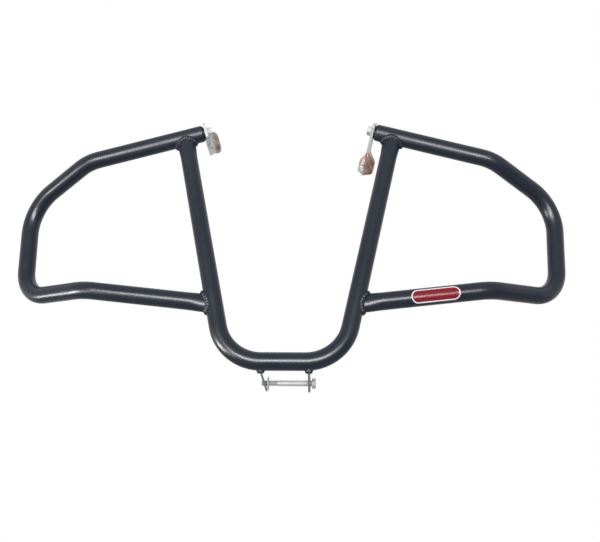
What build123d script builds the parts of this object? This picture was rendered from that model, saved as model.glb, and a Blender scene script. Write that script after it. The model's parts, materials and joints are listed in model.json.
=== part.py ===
from build123d import *
import math
import os

# Motorcycle crash bars: a U tube with splayed legs and two mirrored side loops, welded, with bolted fixings.
# Millimetres, +Z up, +X to the right seen from the front, +Y to the rear.
# The origin is on the axis of the long lower bolt, half way between the two sides.

# Tube and bends
tube_od = 25.4
tube_wall = 2.0
bend_radius = 63.5
corner_radius = 50.8
cope_gap = 0.1

# U tube: heights are above the axis of its bottom run
u_corner_x = 81.0
leg_splay_deg = 12.5
top_joint_height = 359.5
low_joint_height = 83.5

# Corner points of the right loop's axis: distance from the middle, distance to the rear, height
top_bend_x, top_bend_y, top_bend_height = 308.0, 0.0, 316.5
shoulder_x, shoulder_y, shoulder_height = 411.0, 60.0, 269.0
low_corner_x, low_corner_y, low_corner_height = 399.0, 60.0, 116.0
low_bend_x, low_bend_y, low_bend_height = 289.0, 0.0, 105.0
right_end_overhang = 25.0
left_end_overhang = 26.5

# Tube ends pressed to an oval where they meet another tube
pinch_from_joint = 40.0
pinch_length = 26.0
leg_end_half_width, leg_end_half_depth = 13.8, 10.8
low_end_half_width, low_end_half_depth = 13.6, 9.4

# Weld beads: a row of overlapping round drops, sunk where the tubes meet at a flat angle
bead_radius = 4.8
bead_pitch = 4.0
bead_sink = 1.6
end_bead_radius = 3.0
end_bead_inset = 0.5

# Threaded boss in each inner end
boss_depth = 16.0
boss_proud = 4.5
boss_face_diameter = 19.0
boss_fit_gap = 0.1

# M8 hardware
bolt_diameter = 8.0
thread_gap = 0.1
hex_across_flats = 13.0
head_height = 5.3
nut_height = 6.8
hex_chamfer_deg = 30.0
hex_face_share = 0.97
hex_turn_deg = 30.0
turning_gap = 0.01
washer_diameter = 16.0
washer_bore = 8.4
washer_thickness = 1.6
tip_chamfer = 1.0
strap_bolt_length = 20.0
fixing_bolt_length = 16.0
mount_bolt_length = 70.0
mount_bolt_standoff = 2.2

# Strap brackets
strap_width = 25.0
strap_thickness = 4.0
strap_hole_spacing = 56.0
strap_hole_edge = 12.5
strap_hole_diameter = 9.0
strap_corner_radius = 4.0
right_strap_swing_deg = 45.0
left_strap_swing_deg = 104.0

# Left fixings, stowed flat on the strap's inner face: distance from the end bolt, then across the strap
stowed_bolt_from_bolt = 39.5
stowed_seat_across = 10.7
stowed_nut_across = -4.5

# Tape wound round each strap's lower end
tape_thickness = 1.4
tape_gap = 0.3
right_tape_neck = 31.0
left_tape_neck = 22.0
tape_end_slope = 1.4
tape_swell_share = 0.42
tape_end_share = 0.75

# Tabs under the U tube
right_tab_x = 35.0
left_tab_x = -32.8
tab_reach = 41.5
tab_tilt_deg = 60.0
tab_width = 25.0
tab_thickness = 3.0
tab_hole_diameter = 9.0
left_tab_lean_deg = 19.0
tab_bead_radius = 3.4
tab_bead_pitch = 3.7
tab_bead_outset = 0.7
tab_bead_end_inset = 2.4
loose_washer_diameter = 18.0

# Sticker on the right loop's low run
sticker_length = 70.0
sticker_height = 18.7
sticker_thickness = 0.3
sticker_gap = 0.05
sticker_from_leg = 113.0
sticker_face_down_deg = 17.0

tube_radius = tube_od / 2
bore_radius = tube_radius - tube_wall
bolt_back = tab_reach * math.sin(math.radians(tab_tilt_deg))
bolt_drop = tab_reach * math.cos(math.radians(tab_tilt_deg))


def at(x, y, height):
    """A point given from the U's plane and by its height above the axis of the U's bottom run."""
    return Vector(x, y - bolt_back, bolt_drop + height)


def leg_point(height):
    """The point of the right leg's axis at that height."""
    return at(u_corner_x + height * math.tan(math.radians(leg_splay_deg)), 0, height)


top_joint = leg_point(top_joint_height)
low_joint = leg_point(low_joint_height)
top_bend = at(top_bend_x, top_bend_y, top_bend_height)
shoulder = at(shoulder_x, shoulder_y, shoulder_height)
low_corner = at(low_corner_x, low_corner_y, low_corner_height)
low_bend = at(low_bend_x, low_bend_y, low_bend_height)
end_axis = (top_joint - top_bend).normalized()
low_axis = (low_bend - low_joint).normalized()
leg_axis = (top_joint - low_joint).normalized()


def tube_end(overhang):
    """The middle of a loop's open inner end, past the top joint."""
    return top_joint + end_axis * overhang


def opposite(point):
    return Vector(-point.X, point.Y, point.Z)


def mirrored(shape):
    return mirror(shape, about=Plane.YZ)


def rod(start, axis, length, radius):
    """A round bar from a point along an axis."""
    return extrude(Plane(origin=start, z_dir=axis) * Circle(radius), length)


def swept(path, radius):
    return sweep(Plane(origin=path @ 0, z_dir=path % 0) * Circle(radius), path=path)


def drops(points, radius, inside):
    """Overlapping round drops on a closed row of points, fused to one bead, their seams turned inside."""
    spheres = []
    for i, point in enumerate(points):
        tangent = (points[(i + 1) % len(points)] - points[i - 1]).normalized()
        inward = inside - point
        inward = (inward - tangent * inward.dot(tangent)).normalized()
        spheres.append(Plane(origin=point, x_dir=inward, z_dir=tangent) * Sphere(radius))
    return spheres[0].fuse(*spheres[1:])


def spaced(points, pitch):
    """Points at even steps along a closed row of points."""
    row = points + [points[0]]
    steps = [(b - a).length for a, b in zip(row[:-1], row[1:])]
    count = round(sum(steps) / pitch)
    picked = []
    travelled = 0.0
    for start, end, step in zip(row[:-1], row[1:], steps):
        while len(picked) * sum(steps) / count < travelled + step and len(picked) < count:
            share = (len(picked) * sum(steps) / count - travelled) / step
            picked.append(start + (end - start) * share)
        travelled += step
    return picked


def through_bar(joint, axis, radius):
    """A bar along a tube's axis, long enough to cut every piece at that joint."""
    reach = 2.5 * tube_od
    return rod(joint - axis * reach, axis, 2 * reach, radius)


def pinched_end(joint, axis, half_width, half_depth, inset):
    """The last stretch of a tube before its joint, filled, from round to oval."""
    across = Vector(0, 1, 0).cross(axis)
    sections = []
    for step in range(4):
        share = step / 3
        eased = share * share * (3 - 2 * share)
        wide = tube_radius + (half_width - tube_radius) * eased - inset
        deep = tube_radius + (half_depth - tube_radius) * eased - inset
        start = joint - axis * (pinch_from_joint - pinch_length * share)
        sections.append(Plane(origin=start, x_dir=across, z_dir=axis) * Ellipse(wide, deep))
    return loft(sections) + extrude(sections[-1], pinch_from_joint - pinch_length)


def saddle(joint, branch_axis, main_axis, half_width, half_depth):
    """Middles of the bead's drops along the line where an oval tube end meets a round tube."""
    side = branch_axis.cross(main_axis).normalized()
    along = side.cross(branch_axis).normalized()
    lean = branch_axis.dot(main_axis)
    free = 1 - lean * lean
    points = []
    for step in range(360):
        turn = math.radians(step)
        around = along * (half_width * math.cos(turn)) + side * (half_depth * math.sin(turn))
        reach = around.dot(main_axis)
        gap = around.dot(around) - reach * reach - tube_radius * tube_radius
        back = (math.sqrt((reach * lean) ** 2 - free * gap) - reach * lean) / free
        root = around - branch_axis * back
        end_normal = along * (math.cos(turn) / half_width) + side * (math.sin(turn) / half_depth)
        end_normal = end_normal.normalized()
        main_normal = (root - main_axis * root.dot(main_axis)).normalized()
        sink = bead_sink * max(0.0, end_normal.dot(main_normal))
        points.append(joint + root - (end_normal + main_normal) * sink)
    return points


def joint_weld(joint, branch_axis, main_axis, half_width, half_depth):
    middles = saddle(joint, branch_axis, main_axis, half_width, half_depth)
    bead = drops(spaced(middles, bead_pitch), bead_radius, joint)
    end = pinched_end(joint, branch_axis, half_width, half_depth, 0)
    return bead - (through_bar(joint, main_axis, tube_radius) + end)


def filled_u(inset):
    corner = at(u_corner_x, 0, 0)
    leg_end = top_joint - leg_axis * pinch_from_joint
    points = [opposite(leg_end), opposite(corner), corner, leg_end]
    bar = swept(FilletPolyline(*points, radius=bend_radius), tube_radius - inset)
    end = pinched_end(top_joint, leg_axis, leg_end_half_width, leg_end_half_depth, inset)
    return bar + end + mirrored(end)


def u_tube():
    cope = through_bar(top_joint, end_axis, tube_radius + cope_gap)
    return filled_u(0) - filled_u(tube_wall) - cope - mirrored(cope)


def filled_loop(overhang, inset):
    low_end = low_joint + low_axis * pinch_from_joint
    points = [tube_end(overhang), top_bend, shoulder, low_corner, low_bend, low_end]
    radii = [bend_radius, bend_radius, corner_radius, bend_radius]
    bar = swept(FilletPolyline(*points, radius=radii), tube_radius - inset)
    return bar + pinched_end(low_joint, -low_axis, low_end_half_width, low_end_half_depth, inset)


def loop_tube(overhang):
    cope = through_bar(low_joint, leg_axis, tube_radius + cope_gap)
    return filled_loop(overhang, 0) - filled_loop(overhang, tube_wall) - cope


def end_boss(overhang):
    face = tube_end(overhang)
    start = face - end_axis * boss_depth
    plug = rod(start, end_axis, boss_depth, bore_radius - boss_fit_gap)
    plug += rod(face, end_axis, boss_proud, boss_face_diameter / 2)
    return plug - rod(start, end_axis, boss_depth + boss_proud, bolt_diameter / 2 + thread_gap)


def end_weld(overhang):
    face = tube_end(overhang)
    spoke = Vector(tube_radius - end_bead_radius - end_bead_inset, 0, 0)
    plane = Plane(origin=face, z_dir=end_axis)
    ring = [plane.from_local_coords(spoke.rotate(Axis.Z, turn)) for turn in range(360)]
    bead = drops(spaced(ring, bead_pitch * end_bead_radius / bead_radius), end_bead_radius, face)
    bead &= rod(face, end_axis, boss_proud, tube_radius)
    return bead - rod(face, end_axis, boss_proud, boss_face_diameter / 2)


def hex_blank(height):
    """A hexagon with the corners of its top turned off, standing on z = 0."""
    turned_radius = hex_across_flats / math.sqrt(3) + turning_gap
    inset = turned_radius - hex_across_flats / 2 * hex_face_share
    turned = Cylinder(turned_radius, height, align=(Align.CENTER, Align.CENTER, Align.MIN))
    rim = turned.edges().filter_by(GeomType.CIRCLE).sort_by(Axis.Z)[-1]
    turned = chamfer(rim, inset * math.tan(math.radians(hex_chamfer_deg)), inset)
    return extrude(RegularPolygon(hex_across_flats / 2, 6, major_radius=False), height) & turned


def hex_bolt(length):
    """A bolt with its head above z = 0 and its shank below."""
    shank = Cylinder(bolt_diameter / 2, length, align=(Align.CENTER, Align.CENTER, Align.MAX))
    tip = shank.edges().filter_by(GeomType.CIRCLE).sort_by(Axis.Z)[0]
    return hex_blank(head_height) + chamfer(tip, tip_chamfer)


def hex_nut():
    return hex_blank(nut_height) - Cylinder(bolt_diameter / 2 + thread_gap, 3 * nut_height)


def washer(outer, thickness):
    """A flat washer standing on z = 0."""
    return extrude(Circle(outer / 2) - Circle(washer_bore / 2), thickness)


def strap_frame(overhang, swing_deg):
    """Plane of the strap: x along it from the end bolt, z inwards along the top run's axis."""
    down = Vector(0, 0, -1)
    hanging = (down - end_axis * down.dot(end_axis)).normalized()
    swing = math.radians(swing_deg)
    along = hanging * math.cos(swing) + Vector(0, 1, 0) * math.sin(swing)
    return Plane(origin=tube_end(overhang) + end_axis * boss_proud, x_dir=along, z_dir=end_axis)


def strap():
    length = strap_hole_spacing + 2 * strap_hole_edge
    outline = Pos(strap_hole_spacing / 2, 0) * RectangleRounded(length, strap_width, strap_corner_radius)
    hole = Circle(strap_hole_diameter / 2)
    return extrude(outline - hole - Pos(strap_hole_spacing, 0) * hole, strap_thickness)


def strap_hardware():
    """Bolt and washer that clamp the strap to the boss, stacked on the strap's inner face."""
    head_seat = strap_thickness + washer_thickness
    return {
        "strap_washer": Pos(0, 0, strap_thickness) * washer(washer_diameter, washer_thickness),
        "strap_bolt": Pos(0, 0, head_seat) * Rot(0, 0, hex_turn_deg) * hex_bolt(strap_bolt_length),
    }


def clamped_fixings():
    """Fixing bolt through the lower hole, with its nut on the outer face."""
    inner_seat = strap_thickness
    outer_seat = -washer_thickness
    plain = Pos(strap_hole_spacing, 0, 0) * washer(washer_diameter, washer_thickness)
    head_place = Pos(strap_hole_spacing, 0, inner_seat + washer_thickness)
    return {
        "fixing_washers": Pos(0, 0, inner_seat) * plain + Pos(0, 0, outer_seat) * plain,
        "fixing_bolt": head_place * hex_bolt(fixing_bolt_length),
        "fixing_nut": Pos(strap_hole_spacing, 0, outer_seat - nut_height) * hex_nut(),
    }


def stowed_fixings():
    """Fixing bolt with its nut lying on the strap's inner face, and its washers over the lower hole."""
    lying = Pos(stowed_bolt_from_bolt, 0, strap_thickness + hex_across_flats / 2) * Rot(-90, 0, 0)
    stacked = extrude(Circle(washer_diameter / 2) - Circle(washer_bore / 2), 2 * washer_thickness)
    return {
        "fixing_washers": Pos(strap_hole_spacing, 0, strap_thickness) * stacked,
        "fixing_bolt": lying * Pos(0, 0, stowed_seat_across) * hex_bolt(fixing_bolt_length),
        "fixing_nut": lying * Pos(0, 0, stowed_nut_across) * hex_nut(),
    }


def tape_section(from_bolt, outer, inner, edges, flat):
    """Section of the tape across the strap: its reach past both faces, its two edges and its flat's ends."""
    slim = tape_gap + tape_thickness
    over, under = strap_thickness + slim, strap_thickness + inner
    upper = [(over, edges[1]), (under, flat[1]), (under, flat[0]), (over, edges[0])]
    lower = [(-slim, edges[0]), (-outer, flat[0]), (-outer, flat[1]), (-slim, edges[1])]
    face = make_face(Polyline(*upper, *lower, close=True))
    return Plane(origin=(from_bolt, 0, 0), x_dir=(0, 0, 1), z_dir=(1, 0, 0)) * face


def tape_slot():
    slot = Box(2 * strap_hole_spacing, strap_width + 2 * tape_gap, strap_thickness + 2 * tape_gap)
    return Pos(strap_hole_spacing, 0, strap_thickness / 2) * slot


def tape_room(radius, low, high):
    """Round room in the tape about the lower hole, between two heights on the strap."""
    room = Cylinder(radius, high - low, align=(Align.CENTER, Align.CENTER, Align.MIN))
    return Pos(strap_hole_spacing, 0, low) * room


def clamped_tape():
    """Tape from a slim neck to a fat end round the clamped fixings."""
    slim = tape_gap + tape_thickness
    outer_reach = fixing_bolt_length - strap_thickness - washer_thickness + slim
    inner_reach = washer_thickness + head_height + slim
    wide = strap_width / 2 + slim
    room_radius = washer_diameter / 2 + tape_gap
    flat = (-room_radius - tape_thickness, room_radius + tape_thickness)
    fat_from = strap_hole_spacing - room_radius
    fat_to = strap_hole_spacing + room_radius + tape_gap
    rows = [
        (right_tape_neck, 0, wide),
        ((right_tape_neck + fat_from) / 2, tape_swell_share, wide + tape_gap),
        (fat_from, 1, wide),
        (fat_to, 1, wide - tape_gap),
        (fat_to + tape_end_slope, tape_end_share, wide - 2 * tape_gap),
    ]
    sections = []
    for from_bolt, share, edge in rows:
        outer = slim + (outer_reach - slim) * share
        inner = slim + (inner_reach - slim) * share
        sections.append(tape_section(from_bolt, outer, inner, (-edge, edge), flat))
    room_top = strap_thickness + inner_reach - tape_thickness
    room = tape_room(room_radius, tape_thickness - outer_reach, room_top)
    return loft(sections, ruled=True) - tape_slot() - room


def stowed_tape():
    """Tape over the bolt that lies across the strap, then over the washers on the lower hole."""
    slim = tape_gap + tape_thickness
    wide = strap_width / 2 + slim
    hex_reach = hex_across_flats / math.sqrt(3) + tape_gap
    bolt_reach = hex_across_flats + slim
    washer_reach = 2 * washer_thickness + slim
    tip_across = stowed_seat_across - fixing_bolt_length - tape_gap
    head_across = stowed_seat_across + head_height + tape_gap
    bolt_from, bolt_to = stowed_bolt_from_bolt - hex_reach, stowed_bolt_from_bolt + hex_reach
    room_radius = washer_diameter / 2 + tape_gap
    fat_to = strap_hole_spacing + room_radius + tape_gap
    even = (-wide, wide)
    even_flat = (-room_radius - tape_thickness, room_radius + tape_thickness)
    hung = (-wide, head_across + tape_thickness)
    hung_flat = (tip_across - tape_thickness, head_across + tape_thickness / 2)
    sections = [
        tape_section(left_tape_neck, slim, slim, even, even_flat),
        tape_section(bolt_from - tape_thickness, slim, bolt_reach, hung, hung_flat),
        tape_section(bolt_to, slim, bolt_reach, hung, hung_flat),
        tape_section(bolt_to + tape_end_slope, slim, washer_reach, even, even_flat),
        tape_section(fat_to, slim, washer_reach, even, even_flat),
        tape_section(fat_to + tape_end_slope, slim, slim, even, even_flat),
    ]
    bolt_room = Box(2 * hex_reach, head_across - tip_across, hex_across_flats + tape_gap)
    middle_height = strap_thickness + (hex_across_flats + tape_gap) / 2
    bolt_room = Pos(stowed_bolt_from_bolt, (head_across + tip_across) / 2, middle_height) * bolt_room
    washer_room = tape_room(room_radius, strap_thickness, strap_thickness + 2 * washer_thickness + tape_gap)
    return loft(sections, ruled=True) - tape_slot() - bolt_room - washer_room


def tab_plane(x):
    """Plane of a tab: origin on the bottom run's axis, x towards the bolt, z sideways."""
    tilt = math.radians(tab_tilt_deg)
    return Plane(origin=at(x, 0, 0), x_dir=(0, math.sin(tilt), -math.cos(tilt)), z_dir=(1, 0, 0))


def tab_root_height():
    return bolt_drop - tube_radius * math.cos(math.radians(tab_tilt_deg))


def tab(x, lean_deg):
    """Tongue from the U's bottom run, its round end about the bolt, leaning sideways about its root."""
    tongue = Pos(tab_reach / 2, 0) * Rectangle(tab_reach, tab_width)
    tongue += Pos(tab_reach, 0) * Circle(tab_width / 2)
    plate = tab_plane(x) * extrude(tongue, tab_thickness / 2, both=True)
    root = Pos(x, 0, tab_root_height())
    plate = root * Rot(0, -lean_deg, 0) * root.inverse() * plate
    hole = rod(Vector(x - tab_width, 0, 0), Vector(1, 0, 0), 2 * tab_width, tab_hole_diameter / 2)
    return plate - filled_u(-cope_gap) - hole


def tab_weld(x, lean_deg, plate):
    """Bead all round the tab's root, on the bottom run."""
    half_x = tab_thickness / 2 + tab_bead_outset
    half_y = tab_width / 2 - tab_bead_end_inset
    corners = [(half_x, -half_y), (half_x, half_y), (-half_x, half_y), (-half_x, -half_y)]
    plane = tab_plane(x)
    shear = math.tan(math.radians(lean_deg))
    steps = 12
    ring = []
    for (x0, y0), (x1, y1) in zip(corners, corners[1:] + corners[:1]):
        for step in range(steps):
            y = y0 + (y1 - y0) * step / steps
            out = math.sqrt(tube_radius**2 - y**2) + tab_bead_outset
            point = plane.from_local_coords(Vector(out, y, x0 + (x1 - x0) * step / steps))
            ring.append(point + Vector((tab_root_height() - point.Z) * shear, 0, 0))
    root = plane.from_local_coords(Vector(tube_radius, 0, 0))
    bead = drops(spaced(ring, tab_bead_pitch), tab_bead_radius, root)
    return bead - filled_u(0) - plate


def oval_sticker():
    facing = Vector(0, -1, 0).rotate(Axis.X, sticker_face_down_deg)
    facing = (facing - low_axis * facing.dot(low_axis)).normalized()
    middle = low_joint + low_axis * sticker_from_leg
    plane = Plane(origin=middle, x_dir=low_axis, z_dir=facing)
    start = middle - low_axis * sticker_length
    skin = rod(start, low_axis, 2 * sticker_length, tube_radius + sticker_gap + sticker_thickness)
    skin -= rod(start, low_axis, 2 * sticker_length, tube_radius + sticker_gap)
    return skin & extrude(plane * SlotOverall(sticker_length, sticker_height), tube_od)


nodes = {"center_u_tube": u_tube()}

# Loops with their joints and end bosses: the two sides differ in how far the inner end stands out
overhangs = {"right": right_end_overhang, "left": left_end_overhang}
welds = {
    "upper_weld": joint_weld(top_joint, leg_axis, end_axis, leg_end_half_width, leg_end_half_depth),
    "lower_weld": joint_weld(low_joint, -low_axis, leg_axis, low_end_half_width, low_end_half_depth),
}
sides = {}
for side, overhang in overhangs.items():
    sides[side] = {
        "loop_tube": loop_tube(overhang),
        **welds,
        "end_boss": end_boss(overhang),
        "end_weld": end_weld(overhang),
    }

# Straps and their hardware, each side at its own swing
right_set = {"strap": strap(), **strap_hardware(), **clamped_fixings(), "tape_wrap": clamped_tape()}
left_set = {"strap": strap(), **strap_hardware(), **stowed_fixings(), "tape_wrap": stowed_tape()}
right_frame = strap_frame(right_end_overhang, right_strap_swing_deg)
left_frame = strap_frame(left_end_overhang, left_strap_swing_deg)
sides["right"].update({name: right_frame * shape for name, shape in right_set.items()})
sides["left"].update({name: left_frame * shape for name, shape in left_set.items()})
nodes.update({"right_" + name: shape for name, shape in sides["right"].items()})
nodes.update({"left_" + name: mirrored(shape) for name, shape in sides["left"].items()})

# Tabs and the long lower bolt
nodes["right_tab"] = tab(right_tab_x, 0)
nodes["left_tab"] = tab(left_tab_x, left_tab_lean_deg)
nodes["right_tab_weld"] = tab_weld(right_tab_x, 0, nodes["right_tab"])
nodes["left_tab_weld"] = tab_weld(left_tab_x, left_tab_lean_deg, nodes["left_tab"])
bolt_seat = right_tab_x + tab_thickness / 2 + mount_bolt_standoff
bolt_plane = Plane(origin=(bolt_seat, 0, 0), x_dir=(0, 0, 1), z_dir=(1, 0, 0))
nodes["mount_bolt"] = bolt_plane * hex_bolt(mount_bolt_length)
lean = math.radians(left_tab_lean_deg)
lean_reach = (tab_root_height() + loose_washer_diameter / 2) * math.tan(lean)
washer_seat = left_tab_x + lean_reach + tab_thickness / 2 / math.cos(lean) + cope_gap
washer_plane = Plane(origin=(washer_seat, 0, 0), z_dir=(1, 0, 0))
nodes["mount_bolt_washer"] = washer_plane * washer(loose_washer_diameter, washer_thickness)
nodes["oval_sticker"] = oval_sticker()

os.makedirs("parts", exist_ok=True)
for name, shape in nodes.items():
    export_step(shape, f"parts/{name}.step")
    print(f"{name}: {shape.volume:.0f} mm3")
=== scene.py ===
import bmesh
import bpy
import json
import math
from mathutils import Matrix, Vector, noise


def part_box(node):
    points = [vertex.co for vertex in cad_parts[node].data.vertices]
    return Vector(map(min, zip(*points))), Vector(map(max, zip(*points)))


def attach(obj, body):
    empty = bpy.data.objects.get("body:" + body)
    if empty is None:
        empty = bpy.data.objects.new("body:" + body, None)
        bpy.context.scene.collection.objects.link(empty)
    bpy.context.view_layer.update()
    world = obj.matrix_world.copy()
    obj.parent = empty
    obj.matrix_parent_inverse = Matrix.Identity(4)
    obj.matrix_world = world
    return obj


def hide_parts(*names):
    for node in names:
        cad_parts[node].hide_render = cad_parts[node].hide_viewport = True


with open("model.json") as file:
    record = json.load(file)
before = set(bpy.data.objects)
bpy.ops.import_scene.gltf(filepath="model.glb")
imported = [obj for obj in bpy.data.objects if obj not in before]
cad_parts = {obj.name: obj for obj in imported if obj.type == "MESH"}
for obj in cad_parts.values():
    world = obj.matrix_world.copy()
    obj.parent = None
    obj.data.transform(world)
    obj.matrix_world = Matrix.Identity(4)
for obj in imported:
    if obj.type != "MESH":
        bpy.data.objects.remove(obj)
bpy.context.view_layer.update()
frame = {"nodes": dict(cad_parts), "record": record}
nodes = frame["nodes"]
scene = bpy.context.scene
scene.view_settings.view_transform = "Standard"

# The bars' own dimensions, in metres; heights are above the axis of the U's bottom run
TUBE_RADIUS = 0.0127
U_CORNER_X = 0.081
LEG_SPLAY = math.radians(12.5)
TOP_JOINT_HEIGHT = 0.3595
LOW_JOINT_HEIGHT = 0.0835
TOP_BEND_X, TOP_BEND_HEIGHT = 0.308, 0.3165
LOW_BEND_X, LOW_BEND_HEIGHT = 0.289, 0.105
STRAP_FROM_JOINT = {"right": 0.0295, "left": 0.031}
STRAP_SWING = {"right": math.radians(45.0), "left": math.radians(104.0)}
HEAD_HEIGHT = 0.0053
BOLT_RADIUS = 0.004

u_low, u_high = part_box("center_u_tube")
bottom_run = Vector((0.0, (u_low[1] + u_high[1]) / 2, u_low[2] + TUBE_RADIUS))

# Camera, looking up at the bars from in front and below
CAMERA_AIM = bottom_run + Vector((0.02094, -0.00042, 0.13385))
CAMERA_DISTANCE = 1.07275
CAMERA_YAW = math.radians(2.495)
CAMERA_LIFT = math.radians(23.286)
CAMERA_ROLL = math.radians(0.961)
CAMERA_LENS = 45.05
SENSOR_WIDTH = 36.0

# Lamps: soft fill, and panels that only gloss mirrors; bare metal mirrors a weaker one of its own
PANEL_DISTANCE = 2.0
FRONT_PANEL_WIDTH = 1.7
FRONT_PANEL_X = -0.15
FRONT_PANEL_LOW = math.radians(-18.0)
FRONT_PANEL_HIGH = math.radians(-2.5)
coated = bpy.data.collections.new("coated")
bare = bpy.data.collections.new("bare_metal")

# Floor, well below the bars
FLOOR_Z = -2.0
FLOOR_HALF = 10.0


def camera_axes():
    """Right, up and forward directions of the camera."""
    level = math.cos(CAMERA_LIFT)
    forward = Vector((-math.sin(CAMERA_YAW) * level, math.cos(CAMERA_YAW) * level, math.sin(CAMERA_LIFT)))
    right = Vector((math.cos(CAMERA_YAW), math.sin(CAMERA_YAW), 0.0))
    up = right.cross(forward)
    rolled_right = right * math.cos(CAMERA_ROLL) + up * math.sin(CAMERA_ROLL)
    rolled_up = up * math.cos(CAMERA_ROLL) - right * math.sin(CAMERA_ROLL)
    return rolled_right, rolled_up, forward


def facing_matrix(place, right, up, back):
    turn = Matrix((right, up, back)).transposed()
    return Matrix.Translation(place) @ turn.to_4x4()


def add_camera():
    right, up, forward = camera_axes()
    data = bpy.data.cameras.new("camera")
    data.lens = CAMERA_LENS
    data.sensor_width = SENSOR_WIDTH
    data.sensor_fit = "HORIZONTAL"
    data.clip_start = 0.01
    camera = bpy.data.objects.new("camera", data)
    camera.matrix_world = facing_matrix(CAMERA_AIM - forward * CAMERA_DISTANCE, right, up, -forward)
    scene.collection.objects.link(camera)
    scene.camera = camera


def mirror_group(slot):
    """The pieces that mirror the same panels."""
    return bare if slot in ("zinc", "tabs") else coated


def add_area(name, place, aim, size, radiance, group=None):
    """A rectangular lamp of a given brightness: a soft fill, or a panel that only a group's gloss mirrors."""
    data = bpy.data.lights.new(name, "AREA")
    data.shape = "RECTANGLE"
    data.size, data.size_y = size
    data.energy = radiance * math.pi * size[0] * size[1]
    lamp = bpy.data.objects.new(name, data)
    back = (Vector(place) - Vector(aim)).normalized()
    right = Vector((-back.y, back.x, 0.0)).normalized()
    lamp.matrix_world = facing_matrix(Vector(place), right, back.cross(right), back)
    lamp.visible_glossy = group is not None
    lamp.visible_diffuse = group is None
    lamp.light_linking.receiver_collection = group
    scene.collection.objects.link(lamp)


def add_front_panel(name, radiance, group):
    """The panel in front, between two elevations seen from the middle of the bars."""
    low = PANEL_DISTANCE * math.tan(FRONT_PANEL_LOW)
    high = PANEL_DISTANCE * math.tan(FRONT_PANEL_HIGH)
    place = CAMERA_AIM + Vector((0.0, -PANEL_DISTANCE, (low + high) / 2))
    place.x = FRONT_PANEL_X
    straight_ahead = place + Vector((0.0, 1.0, 0.0))
    add_area(name, place, straight_ahead, (FRONT_PANEL_WIDTH, high - low), radiance, group)


def add_side_panel(name, azimuth_deg, elevation_deg, size, radiance):
    """A panel that faces the bars from a given direction; azimuth is from the front, to the right."""
    azimuth = math.radians(azimuth_deg)
    elevation = math.radians(elevation_deg)
    level = math.cos(elevation)
    toward = Vector((math.sin(azimuth) * level, -math.cos(azimuth) * level, math.sin(elevation)))
    add_area(name, CAMERA_AIM + toward * PANEL_DISTANCE, CAMERA_AIM, size, radiance, coated)


def add_world(ambient):
    """White where it is seen or mirrored, and softer where it lights."""
    world = bpy.data.worlds.new("studio")
    world.use_nodes = True
    tree = world.node_tree
    tree.nodes.clear()
    path = tree.nodes.new("ShaderNodeLightPath")
    seen = tree.nodes.new("ShaderNodeMath")
    seen.operation = "MAXIMUM"
    tree.links.new(path.outputs["Is Camera Ray"], seen.inputs[0])
    tree.links.new(path.outputs["Is Transmission Ray"], seen.inputs[1])
    shown = tree.nodes.new("ShaderNodeMath")
    shown.operation = "MAXIMUM"
    tree.links.new(seen.outputs[0], shown.inputs[0])
    tree.links.new(path.outputs["Is Glossy Ray"], shown.inputs[1])
    white = tree.nodes.new("ShaderNodeBackground")
    white.inputs["Color"].default_value = (1.0, 1.0, 1.0, 1.0)
    soft = tree.nodes.new("ShaderNodeBackground")
    soft.inputs["Color"].default_value = (1.0, 1.0, 1.0, 1.0)
    soft.inputs["Strength"].default_value = ambient
    mix = tree.nodes.new("ShaderNodeMixShader")
    tree.links.new(shown.outputs[0], mix.inputs["Fac"])
    tree.links.new(soft.outputs[0], mix.inputs[1])
    tree.links.new(white.outputs[0], mix.inputs[2])
    out = tree.nodes.new("ShaderNodeOutputWorld")
    tree.links.new(mix.outputs[0], out.inputs["Surface"])
    scene.world = world


def new_material(name):
    material = bpy.data.materials.new(name)
    material.use_nodes = True
    tree = material.node_tree
    return material, tree, tree.nodes["Principled BSDF"]


# Finishes: scales are per metre of the part, and a noise mostly stays between its low and high values
NOISE_ROUGHNESS = 0.55
NOISE_LOW, NOISE_HIGH = 0.3, 0.7
TAPE_GRAIN = 0.55

# Paint's gain in roughness toward the top runs' inner ends, over a range of heights in metres
DULL_GAIN = 0.13
DULL_FROM, DULL_TO = 0.15, 0.33
DULL_ASIDE = -0.5


def noise_texture(tree, scale, detail=4.0):
    place = tree.nodes.new("ShaderNodeTexCoord")
    texture = tree.nodes.new("ShaderNodeTexNoise")
    texture.inputs["Scale"].default_value = scale
    texture.inputs["Detail"].default_value = detail
    texture.inputs["Roughness"].default_value = NOISE_ROUGHNESS
    tree.links.new(place.outputs["Object"], texture.inputs["Vector"])
    return texture.outputs["Fac"]


def ramp(tree, source, stops):
    node = tree.nodes.new("ShaderNodeValToRGB")
    elements = node.color_ramp.elements
    while len(elements) < len(stops):
        elements.new(0.5)
    for element, (place, color) in zip(elements, stops):
        element.position = place
        element.color = (*color, 1.0)
    tree.links.new(source, node.inputs["Fac"])
    return node.outputs["Color"]


def mottled(tree, scale, dark, light):
    """A colour that wanders between two tones."""
    return ramp(tree, noise_texture(tree, scale), [(NOISE_LOW, dark), (NOISE_HIGH, light)])


def patchy(tree, scale, low, high):
    """A value that wanders between two limits."""
    node = tree.nodes.new("ShaderNodeMapRange")
    node.inputs["From Min"].default_value = NOISE_LOW
    node.inputs["From Max"].default_value = NOISE_HIGH
    node.inputs["To Min"].default_value = low
    node.inputs["To Max"].default_value = high
    tree.links.new(noise_texture(tree, scale), node.inputs["Value"])
    return node.outputs["Result"]


def bump(tree, shader, source, strength, distance):
    node = tree.nodes.new("ShaderNodeBump")
    node.inputs["Strength"].default_value = strength
    node.inputs["Distance"].default_value = distance
    tree.links.new(source, node.inputs["Height"])
    tree.links.new(node.outputs["Normal"], shader.inputs["Normal"])


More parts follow.
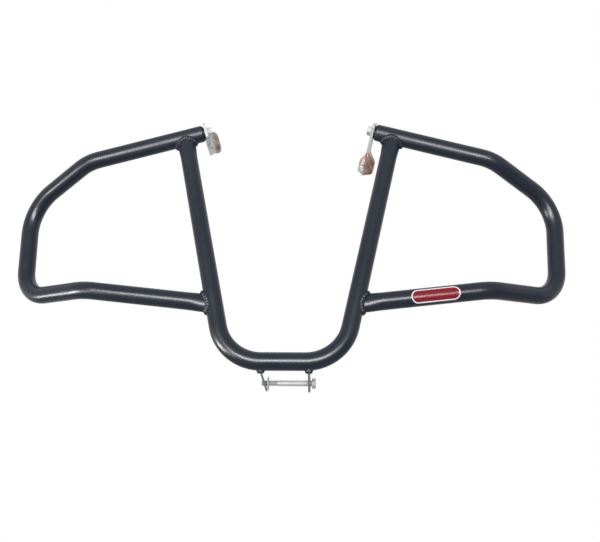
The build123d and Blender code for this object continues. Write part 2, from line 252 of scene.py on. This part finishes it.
def dulled_near_upper_welds(tree, roughness):
    """Adds to a roughness with height, less some of the distance aside: most at the top runs' inner ends."""
    place = tree.nodes.new("ShaderNodeTexCoord")
    split = tree.nodes.new("ShaderNodeSeparateXYZ")
    tree.links.new(place.outputs["Object"], split.inputs[0])
    aside = tree.nodes.new("ShaderNodeMath")
    aside.operation = "ABSOLUTE"
    tree.links.new(split.outputs["X"], aside.inputs[0])
    height = tree.nodes.new("ShaderNodeMath")
    height.operation = "MULTIPLY_ADD"
    height.inputs[1].default_value = DULL_ASIDE
    tree.links.new(aside.outputs[0], height.inputs[0])
    tree.links.new(split.outputs["Z"], height.inputs[2])
    gain = tree.nodes.new("ShaderNodeMapRange")
    gain.inputs["From Min"].default_value = DULL_FROM
    gain.inputs["From Max"].default_value = DULL_TO
    gain.inputs["To Max"].default_value = DULL_GAIN
    tree.links.new(height.outputs[0], gain.inputs["Value"])
    total = tree.nodes.new("ShaderNodeMath")
    total.operation = "ADD"
    tree.links.new(roughness, total.inputs[0])
    tree.links.new(gain.outputs["Result"], total.inputs[1])
    return total.outputs[0]


def paint_material(name, patch_scale, smooth, dull):
    """Dark blue-black powder coat, with smoother and duller patches."""
    material, tree, shader = new_material(name)
    tones = [(0.35, (0.001, 0.006, 0.018)), (0.65, (0.003, 0.009, 0.025))]
    tint = ramp(tree, noise_texture(tree, 9.0), tones)
    tree.links.new(tint, shader.inputs["Base Color"])
    roughness = patchy(tree, patch_scale, smooth, dull)
    tree.links.new(dulled_near_upper_welds(tree, roughness), shader.inputs["Roughness"])
    shader.inputs["Specular IOR Level"].default_value = 0.36
    bump(tree, shader, noise_texture(tree, 70.0, detail=1.0), strength=0.01, distance=0.0008)
    return material


def zinc_material():
    material, tree, shader = new_material("bright_zinc")
    tint = mottled(tree, scale=60.0, dark=(0.54, 0.55, 0.56), light=(0.64, 0.65, 0.65))
    tree.links.new(tint, shader.inputs["Base Color"])
    tree.links.new(patchy(tree, scale=240.0, low=0.56, high=0.68), shader.inputs["Roughness"])
    shader.inputs["Metallic"].default_value = 1.0
    shader.inputs["Specular Tint"].default_value = (0.8, 0.81, 0.82, 1.0)
    bump(tree, shader, noise_texture(tree, 900.0, detail=3.0), strength=0.08, distance=0.0003)
    return material


def tab_material():
    material, tree, shader = new_material("grey_tabs")
    tint = mottled(tree, scale=45.0, dark=(0.2, 0.2, 0.205), light=(0.28, 0.28, 0.285))
    tree.links.new(tint, shader.inputs["Base Color"])
    tree.links.new(patchy(tree, scale=160.0, low=0.38, high=0.52), shader.inputs["Roughness"])
    shader.inputs["Metallic"].default_value = 0.35
    bump(tree, shader, noise_texture(tree, 700.0, detail=3.0), strength=0.1, distance=0.0003)
    return material


def tape_material():
    """Glossy brown film, greyer where it lies over the strap; lighter on its bulging folds and darker between
    them, a painted highlight and painted shade.
    """
    material, tree, shader = new_material("brown_tape")
    # The film's tone along and over the strap, with a painted highlight on bulging folds and painted shade
    # between them
    light = tree.nodes.new("ShaderNodeAttribute")
    light.attribute_name = "film_tone_and_fold_highlight"
    grain_tone_and_fold_highlight = tree.nodes.new("ShaderNodeMath")
    grain_tone_and_fold_highlight.operation = "MULTIPLY_ADD"
    grain_tone_and_fold_highlight.inputs[1].default_value = TAPE_GRAIN
    tree.links.new(noise_texture(tree, 130.0, detail=5.0), grain_tone_and_fold_highlight.inputs[0])
    tree.links.new(light.outputs["Fac"], grain_tone_and_fold_highlight.inputs[2])
    browns = [(0.1, (0.08, 0.036, 0.026)), (0.45, (0.27, 0.15, 0.11)), (0.85, (0.62, 0.44, 0.37))]
    brown = ramp(tree, grain_tone_and_fold_highlight.outputs[0], browns)
    grey = mottled(tree, scale=110.0, dark=(0.5, 0.51, 0.5), light=(0.68, 0.69, 0.67))
    metal = tree.nodes.new("ShaderNodeAttribute")
    metal.attribute_name = "over_metal"
    mix = tree.nodes.new("ShaderNodeMix")
    mix.data_type = "RGBA"
    tree.links.new(metal.outputs["Fac"], mix.inputs["Factor"])
    tree.links.new(brown, mix.inputs["A"])
    tree.links.new(grey, mix.inputs["B"])
    tree.links.new(mix.outputs["Result"], shader.inputs["Base Color"])
    tree.links.new(patchy(tree, scale=180.0, low=0.18, high=0.34), shader.inputs["Roughness"])
    bump(tree, shader, noise_texture(tree, 500.0), strength=0.2, distance=0.0006)
    return material


def sticker_material(name, dark, light):
    material, tree, shader = new_material(name)
    tint = mottled(tree, 160.0, dark, light)
    tree.links.new(tint, shader.inputs["Base Color"])
    tree.links.new(patchy(tree, scale=300.0, low=0.22, high=0.3), shader.inputs["Roughness"])
    shader.inputs["Specular IOR Level"].default_value = 0.25
    bump(tree, shader, noise_texture(tree, 600.0, detail=2.0), strength=0.02, distance=0.0002)
    return material


def add_floor():
    mesh = bpy.data.meshes.new("floor")
    signs = ((-1, -1), (1, -1), (1, 1), (-1, 1))
    corners = [(x * FLOOR_HALF, y * FLOOR_HALF, FLOOR_Z) for x, y in signs]
    mesh.from_pydata(corners, [], [(0, 1, 2, 3)])
    floor = bpy.data.objects.new("floor", mesh)
    material, tree, shader = new_material("pale_floor")
    tint = mottled(tree, scale=2.0, dark=(0.78, 0.78, 0.78), light=(0.82, 0.82, 0.82))
    tree.links.new(tint, shader.inputs["Base Color"])
    shader.inputs["Roughness"].default_value = 0.7
    mesh.materials.append(material)
    scene.collection.objects.link(floor)


def add_piece(name, mesh, node, slot):
    """Links a piece that stands for a CAD node, hides the node, and puts the piece in the mirror group of its
    slot.
    """
    piece = bpy.data.objects.new(name, mesh)
    scene.collection.objects.link(piece)
    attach(piece, "root")
    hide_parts(node)
    mirror_group(slot).objects.link(piece)
    return piece


def grid_mesh(name, rings, close_start, close_end):
    """A tube of closed rings with the same number of points, capped where asked."""
    count = len(rings[0])
    points = [point for ring in rings for point in ring]
    faces = []
    for row in range(len(rings) - 1):
        for i in range(count):
            j = (i + 1) % count
            faces.append((row * count + i, row * count + j, (row + 1) * count + j, (row + 1) * count + i))
    last = (len(rings) - 1) * count
    if close_start:
        faces.append(tuple(reversed(range(count))))
    if close_end:
        faces.append(tuple(range(last, last + count)))
    mesh = bpy.data.meshes.new(name)
    mesh.from_pydata(points, [], faces)
    mesh.shade_smooth()
    return mesh


def leg_point(height):
    return bottom_run + Vector((U_CORNER_X + height * math.tan(LEG_SPLAY), 0.0, height))


def strap_axes(side):
    """Outer face's middle at the end bolt, then the directions along, across and into the strap."""
    joint = leg_point(TOP_JOINT_HEIGHT)
    bend = bottom_run + Vector((TOP_BEND_X, 0.0, TOP_BEND_HEIGHT))
    inward = (joint - bend).normalized()
    start = joint + inward * STRAP_FROM_JOINT[side]
    down = Vector((0.0, 0.0, -1.0))
    hanging = (down - inward * down.dot(inward)).normalized()
    along = hanging * math.cos(STRAP_SWING[side]) + Vector((0.0, 1.0, 0.0)) * math.sin(STRAP_SWING[side])
    across = inward.cross(along)
    axes = [start, along, across, inward]
    if side == "left":
        axes = [Vector((-axis.x, axis.y, axis.z)) for axis in axes]
    return axes


# Tape bundles, in millimetres on the strap: outlines across it, and where along it each one stands
SLIM_OUTLINE = (
    (-12.5, -0.1), (0, -0.15), (12.5, -0.1), (12.7, 2.0), (12.5, 4.1), (0, 4.15), (-12.5, 4.1), (-12.7, 2.0)
)
CLAMPED_OUTLINE = (
    (-8.6, -9.6), (0, -11.2), (8.6, -9.6), (13.4, 2.0), (9.0, 11.2), (0, 12.0), (-9.0, 11.2), (-13.4, 2.0)
)
SHOULDER_OUTLINE = (
    (-9.0, -7.0), (0, -7.6), (9.0, -7.0), (13.2, 2.0), (8.6, 8.0), (0, 8.4), (-8.6, 8.0), (-13.2, 2.0)
)
STOWED_OUTLINE = (
    (-13.4, -1.3), (0, -1.5), (13.2, -1.3), (19.8, 9.5), (16.8, 17.6), (4.0, 18.3), (-7.2, 16.4), (-13.6, 4.6)
)
WASHER_OUTLINE = (
    (-13.4, -1.3), (0, -1.5), (13.4, -1.3), (14.0, 2.5), (10.5, 7.8), (0, 8.9), (-10.5, 7.8), (-13.8, 2.5)
)
TAPE_STATIONS = {
    "right": (
        (31.0, SLIM_OUTLINE), (48.6, CLAMPED_OUTLINE), (63.6, CLAMPED_OUTLINE), (65.6, SHOULDER_OUTLINE),
        (66.4, SLIM_OUTLINE),
    ),
    "left": (
        (22.0, SLIM_OUTLINE), (30.6, STOWED_OUTLINE), (47.6, STOWED_OUTLINE), (51.5, WASHER_OUTLINE),
        (64.6, WASHER_OUTLINE), (66.4, SLIM_OUTLINE),
    ),
}
STRAP_MIDDLE = 2.0
TAPE_FOLD = 0.8
TAPE_FOLD_TURNS = 3.0
TAPE_FOLD_DRIFT = 0.05
TAPE_CRUMPLE = 0.35
TAPE_CRUMPLE_SCALE = 0.4
TAPE_TWIST = 0.045
TAPE_NECK_SHARE = 1 / 3
TAPE_END_SHARE = 1 / 6
TAPE_RINGS = 72
TAPE_POINTS = 112
MILLIMETRE = 0.001
FILM_THICKNESS = 0.0004

# Tape's tone: metal shows near the left strap's outer face and at the right bundle's end; the film is painted
# lighter on its bulging folds and darker between them, a painted highlight and shade
FOLD_HIGHLIGHT_AND_SHADE = 0.6
LEFT_TONE = -0.02
LEFT_METAL_LEAST = 0.12
LEFT_METAL_START = 1.6
LEFT_METAL_FALL = 0.11
RIGHT_TONE = 0.3
RIGHT_TONE_RISE = 0.05
RIGHT_TONE_END = 0.2
RIGHT_END_FROM, RIGHT_END_FADE = 50.0, 8.0
RIGHT_METAL_FROM, RIGHT_METAL_FADE = 1.0, 5.0


def ease(share):
    share = min(max(share, 0.0), 1.0)
    return share * share * (3.0 - 2.0 * share)


def outline_at(stations, reach):
    """The control points of the tape's outline at a place along the strap."""
    for (start, low), (end, high) in zip(stations, stations[1:]):
        if reach <= end:
            share = ease((reach - start) / (end - start))
            return [Vector(a).lerp(Vector(b), share) for a, b in zip(low, high)]
    return [Vector(point) for point in stations[-1][1]]


def round_outline(points, count):
    """A smooth closed curve through a few points."""
    curve = []
    for step in range(count):
        place = step * len(points) / count
        i = int(place)
        share = place - i
        before, start, end, after = (points[(i + k) % len(points)] for k in (-1, 0, 1, 2))
        bend = (end - before) * share + (before * 2 - start * 5 + end * 4 - after) * share**2
        curve.append(start + (bend + (start * 3 - before - end * 3 + after) * share**3) / 2)
    return curve


def tape_tone(side, reach, height, fold):
    """How much metal shows and how light the film is, at a height over the strap's outer face; a fold that
    bulges out is painted lighter, a painted highlight, and the film between folds darker, painted shade.
    """
    if side == "left":
        metal = max(LEFT_METAL_LEAST, ease(LEFT_METAL_START - LEFT_METAL_FALL * height))
        return metal, FOLD_HIGHLIGHT_AND_SHADE * fold + LEFT_TONE
    toward_end = ease((reach - RIGHT_END_FROM) / RIGHT_END_FADE)
    metal = toward_end * ease((height - RIGHT_METAL_FROM) / RIGHT_METAL_FADE)
    light = FOLD_HIGHLIGHT_AND_SHADE * fold + RIGHT_TONE + RIGHT_TONE_RISE * height + RIGHT_TONE_END * toward_end
    return metal, light


def tape_mesh(side):
    """A crumpled sleeve of tape, slim at its neck and swollen over the fixings."""
    start, along, across, inward = strap_axes(side)
    stations = TAPE_STATIONS[side]
    first, last = stations[0][0], stations[-1][0]
    rings = []
    tones = []
    for row in range(TAPE_RINGS + 1):
        share = row / TAPE_RINGS
        reach = first + (last - first) * share
        loose = ease(share / TAPE_NECK_SHARE) * ease((1.0 - share) / TAPE_END_SHARE)
        ring = []
        for step, point in enumerate(round_outline(outline_at(stations, reach), TAPE_POINTS)):
            turn = math.tau * step / TAPE_POINTS + TAPE_TWIST * reach
            circle = Vector((math.cos(turn), math.sin(turn), 0.0)) * TAPE_FOLD_TURNS
            fold = noise.noise(circle + Vector((0.0, 0.0, TAPE_FOLD_DRIFT * reach)))
            crumple = noise.noise(Vector((reach, point.x, point.y)) * TAPE_CRUMPLE_SCALE)
            lift = loose * (TAPE_FOLD * max(0.0, fold) + TAPE_CRUMPLE * crumple)
            out = Vector((point.x, point.y - STRAP_MIDDLE)).normalized()
            place = point + out * lift
            ring.append(start + (along * reach + across * place.x + inward * place.y) * MILLIMETRE)
            # The fold that lifts the film also lightens its colour there and darkens it between bulges:
            # painted highlight and shade
            tones.append(tape_tone(side, reach, place.y, fold))
        rings.append(ring)
    mesh = grid_mesh(f"{side}_tape", rings, False, False)
    for name, values in zip(("over_metal", "film_tone_and_fold_highlight"), zip(*tones)):
        mesh.attributes.new(name, "FLOAT", "POINT").data.foreach_set("value", values)
    return mesh


def add_tape(side, material):
    piece = add_piece(f"{side}_tape_bundle", tape_mesh(side), f"{side}_tape_wrap", "tape")
    piece.data.materials.append(material)
    skin = piece.modifiers.new("film", "SOLIDIFY")
    skin.thickness = FILM_THICKNESS
    skin.offset = -1.0


# Threaded lower bolt
THREAD_PITCH = 0.00125
THREAD_DEPTH = 0.00065
THREAD_LENGTH = 0.022
THREAD_STEPS = 10
THREAD_FLANK = 1.25
BOLT_POINTS = 40
TIP_CHAMFER = 0.001
HEAD_OVERLAP = 0.0003
MERGE_DISTANCE = 1e-6
SHARP_ANGLE = math.radians(40.0)


def shank_radius(from_tip, turn):
    """Radius of the bolt's shank: plain, then a helical thread up to a chamfered tip."""
    phase = (from_tip / THREAD_PITCH + turn / math.tau) % 1.0
    groove = THREAD_DEPTH * min(1.0, THREAD_FLANK * (1.0 - abs(2.0 * phase - 1.0)))
    runout = ease((THREAD_LENGTH - from_tip) / THREAD_PITCH)
    tip_cut = max(0.0, TIP_CHAMFER - from_tip)
    return min(BOLT_RADIUS - groove * runout, BOLT_RADIUS - tip_cut)


def add_threaded_bolt(material):
    low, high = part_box("mount_bolt")
    tip, seat = low[0], high[0] - HEAD_HEIGHT
    thread_rows = round(THREAD_LENGTH / THREAD_PITCH * THREAD_STEPS)
    stations = [THREAD_LENGTH * row / thread_rows for row in range(thread_rows + 1)]
    stations.append(seat + HEAD_OVERLAP - tip)
    rings = []
    for from_tip in stations:
        ring = []
        for step in range(BOLT_POINTS):
            turn = math.tau * step / BOLT_POINTS
            radius = shank_radius(from_tip, turn)
            ring.append(Vector((tip + from_tip, radius * math.cos(turn), radius * math.sin(turn))))
        rings.append(ring)
    mesh = grid_mesh("threaded_bolt", rings, True, True)
    head = bmesh.new()
    head.from_mesh(nodes["mount_bolt"].data)
    shank = [v for v in head.verts if v.co.x < seat - HEAD_OVERLAP]
    bmesh.ops.delete(head, geom=shank, context="VERTS")
    bmesh.ops.remove_doubles(head, verts=head.verts, dist=MERGE_DISTANCE)
    bmesh.ops.holes_fill(head, edges=[e for e in head.edges if e.is_boundary], sides=0)
    head.from_mesh(mesh)
    bmesh.ops.recalc_face_normals(head, faces=head.faces)
    head.to_mesh(mesh)
    head.free()
    mesh.shade_smooth()
    mesh.set_sharp_from_angle(angle=SHARP_ANGLE)
    mesh.materials.append(material)
    add_piece("threaded_mount_bolt", mesh, "mount_bolt", "zinc")


# Oval sticker, wrapped on the right loop's low run
STICKER_LENGTH = 0.0685
STICKER_HEIGHT = 0.0187
STICKER_RIM = 0.0016
STICKER_LIFT = 0.00034
STICKER_GAP = 0.00002
STICKER_EDGE, STICKER_EDGE_DROP = 0.0002, 0.00008
STICKER_STEP, STICKER_STEP_DROP = 0.0001, 0.00006
STICKER_FIELD_SHARES = (0.8, 0.6, 0.4, 0.2, 0.05)
STICKER_RIM_ROWS = 3
STICKER_POINTS = 96
STICKER_FROM_LEG = 0.1113
STICKER_FACE_DOWN = math.radians(13.0)


def stadium(radius, half_run, count):
    """Points of a slot-shaped outline about the middle."""
    points = []
    for step in range(count):
        turn = math.tau * (step + 0.5) / count
        shift = math.copysign(half_run, math.cos(turn))
        points.append((shift + radius * math.cos(turn), radius * math.sin(turn)))
    return points


def add_sticker(rim_material, field_material):
    joint = leg_point(LOW_JOINT_HEIGHT)
    axis = (bottom_run + Vector((LOW_BEND_X, 0.0, LOW_BEND_HEIGHT)) - joint).normalized()
    middle = joint + axis * STICKER_FROM_LEG
    facing = Vector((0.0, -math.cos(STICKER_FACE_DOWN), -math.sin(STICKER_FACE_DOWN)))
    facing = (facing - axis * facing.dot(axis)).normalized()
    side = facing.cross(axis)
    radius = STICKER_HEIGHT / 2
    half_run = STICKER_LENGTH / 2 - radius
    rim_inner = radius - STICKER_RIM
    field_lift = STICKER_LIFT - STICKER_STEP_DROP
    rows = [(radius, 0.0), (radius, STICKER_LIFT - STICKER_EDGE_DROP), (radius - STICKER_EDGE, STICKER_LIFT)]
    rows += [(rim_inner, STICKER_LIFT), (rim_inner - STICKER_STEP, field_lift)]
    rows += [(rim_inner * share, field_lift) for share in STICKER_FIELD_SHARES]
    rings = []
    for ring_radius, lift in rows:
        ring = []
        for along, up in stadium(ring_radius, half_run, STICKER_POINTS):
            lean = math.asin(up / TUBE_RADIUS)
            out = facing * math.cos(lean) + side * math.sin(lean)
            ring.append(middle + axis * along + out * (TUBE_RADIUS + STICKER_GAP + lift))
        rings.append(ring)
    mesh = grid_mesh("sticker", rings, False, True)
    mesh.materials.append(rim_material)
    mesh.materials.append(field_material)
    for polygon in mesh.polygons:
        polygon.material_index = int(min(polygon.vertices) >= STICKER_RIM_ROWS * STICKER_POINTS)
    add_piece("rimmed_sticker", mesh, "oval_sticker", "sticker")


add_camera()
add_world(ambient=0.7)
add_area("front", place=(0.0, -2.6, 0.2), aim=CAMERA_AIM, size=(4.0, 3.0), radiance=0.8)
add_front_panel("panel_front", radiance=32.0, group=coated)
add_front_panel("panel_metal", radiance=8.0, group=bare)
add_side_panel("panel_left", azimuth_deg=-75.0, elevation_deg=-21.0, size=(0.95, 0.28), radiance=56.0)
add_side_panel("panel_near_left", azimuth_deg=-46.0, elevation_deg=-23.0, size=(0.7, 0.24), radiance=20.0)
add_floor()

finishes = {
    "paint": paint_material("black_powder_coat", patch_scale=38.0, smooth=0.27, dull=0.33),
    "weld": paint_material("weld_powder_coat", patch_scale=95.0, smooth=0.05, dull=0.95),
    "zinc": zinc_material(),
    "tabs": tab_material(),
    "tape": tape_material(),
    "sticker": sticker_material("red_film", dark=(0.23, 0.003, 0.014), light=(0.28, 0.005, 0.02)),
}
rim_finish = sticker_material("white_film", dark=(0.95, 0.95, 0.95), light=(0.98, 0.98, 0.98))
for part in frame["record"]["subparts"]:
    node = nodes[part["node"]]
    finish = "weld" if part["node"].endswith("_weld") else part["material_slot"]
    node.data.materials.clear()
    node.data.materials.append(finishes[finish])
    mirror_group(part["material_slot"]).objects.link(node)

for side in ("right", "left"):
    add_tape(side, finishes["tape"])
add_threaded_bolt(finishes["zinc"])
add_sticker(rim_finish, finishes["sticker"])
